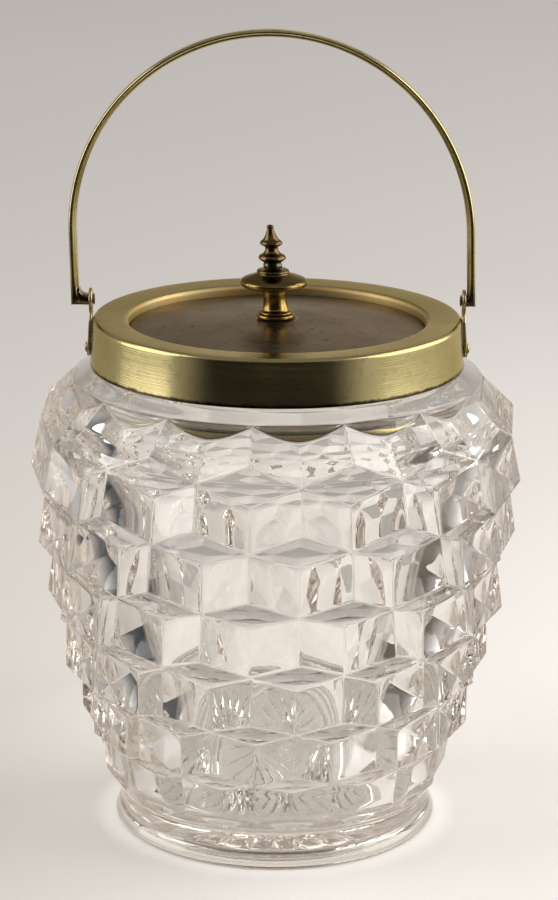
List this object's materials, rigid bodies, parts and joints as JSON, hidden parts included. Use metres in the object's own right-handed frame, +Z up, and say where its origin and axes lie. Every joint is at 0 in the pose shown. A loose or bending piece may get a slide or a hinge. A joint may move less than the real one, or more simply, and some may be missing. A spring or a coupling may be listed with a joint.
{
  "type": "biscuit barrel",
  "caption": "Pressed-glass barrel with a raised cube pattern, a brass collar, a lift-out lid with a turned knob, and a swinging arched handle.",
  "frame": {"origin": "where the jar's own axis meets the surface it stands on, which is the middle of the foot's standing ring; it lies within 1 mm of the middle of the bounding box's base", "axes": "+Z up along the jar's axis, -Y towards the front that the picture shows, and X through the two ears that carry the handle, with +X on the right in the picture"},
  "size_m": [0.1448, 0.1455, 0.2386],
  "materials": {
    "pressed_glass": "clear pressed glass with a faint warm grey tint, fire-polished, with soft facet edges",
    "collar_brass": "pale greenish-gold brass, satin, with fine brush lines round the axis and slight tarnish at its edges",
    "handle_brass": "polished brass with light tarnish",
    "lid_brass": "brown tarnished brass, semi-gloss, lightly specked",
    "knob_brass": "turned brass, glossy, darkened on its upper face",
    "finial_brass": "dark aged brass with green corrosion at its joint",
    "bedding_plaster": "matt off-white plaster",
    "screw_steel": "dull zinc-plated steel"
  },
  "bodies": {
    "jar": {"glass_jar": "pressed_glass", "collar": "collar_brass", "collar_bedding": "bedding_plaster", "ear_left": "handle_brass", "ear_right": "handle_brass", "ear_rivet_left": "handle_brass", "ear_rivet_right": "handle_brass"},
    "lid": {"lid_plate": "lid_brass", "lid_knob": "knob_brass", "knob_finial": "finial_brass", "knob_washer": "screw_steel", "knob_screw": "screw_steel"},
    "bail": {"bail_handle": "handle_brass"}
  },
  "joints": [
    {"name": "bail_swing", "type": "hinge", "parent": "jar", "child": "bail", "pos_m": [0, 0, 0.1594], "axis": [1, 0, 0], "range_deg": [-110, 110]},
    {"name": "lid_lift", "type": "slide", "parent": "jar", "child": "lid", "axis": [0, 0, 1], "range_m": [0, 0.05]}
  ]
}
